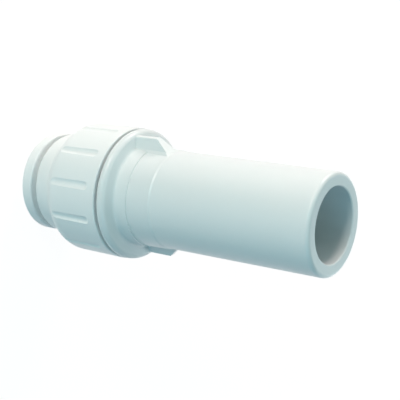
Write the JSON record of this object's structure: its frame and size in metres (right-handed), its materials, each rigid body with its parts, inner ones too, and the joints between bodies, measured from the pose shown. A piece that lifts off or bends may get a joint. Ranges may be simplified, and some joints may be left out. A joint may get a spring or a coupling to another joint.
{
  "type": "pex stem reducer",
  "caption": "Push-fit stem reducer: a plain tube-size stem on one end and a collet socket with a screw cap on the other.",
  "frame": {"origin": "on the axis, in the plane of the collet head's outer face, which the part stands on", "axes": "+Z along the axis from the collet head to the free end of the stem; the two wing ribs of the body lie along +X and -X"},
  "size_m": [0.0304, 0.0304, 0.0773],
  "materials": {
    "white_moulding": "white moulded plastic, soft gloss",
    "white_cap": "white moulded plastic, soft gloss",
    "white_collet": "white moulded plastic, soft gloss",
    "spacer_plastic": "pale moulded plastic",
    "seal_rubber": "black rubber",
    "tooth_steel": "stamped stainless steel"
  },
  "bodies": {
    "body": {"fitting_body": "white_moulding", "o_ring": "seal_rubber"},
    "spacer": {"spacer_ring": "spacer_plastic"},
    "cap": {"screw_cap": "white_cap"},
    "collet": {"collet": "white_collet", "tooth_1": "tooth_steel", "tooth_2": "tooth_steel", "tooth_3": "tooth_steel", "tooth_4": "tooth_steel", "tooth_5": "tooth_steel", "tooth_6": "tooth_steel", "tooth_7": "tooth_steel", "tooth_8": "tooth_steel"}
  },
  "joints": [
    {"name": "cap_advance", "type": "slide", "parent": "body", "child": "spacer", "axis": [0, 0, 1], "range_m": [0, 0.00055]},
    {"name": "cap_turn", "type": "hinge", "parent": "spacer", "child": "cap", "pos_m": [0, 0, 0.01535], "axis": [0, 0, 1], "range_deg": [0, 90]},
    {"name": "collet_release", "type": "slide", "parent": "cap", "child": "collet", "axis": [0, 0, 1], "range_m": [0, 0.0014]}
  ],
  "couplings": [
    {"joint": "cap_turn", "follows": "cap_advance", "rad_per_m": 2856}
  ]
}
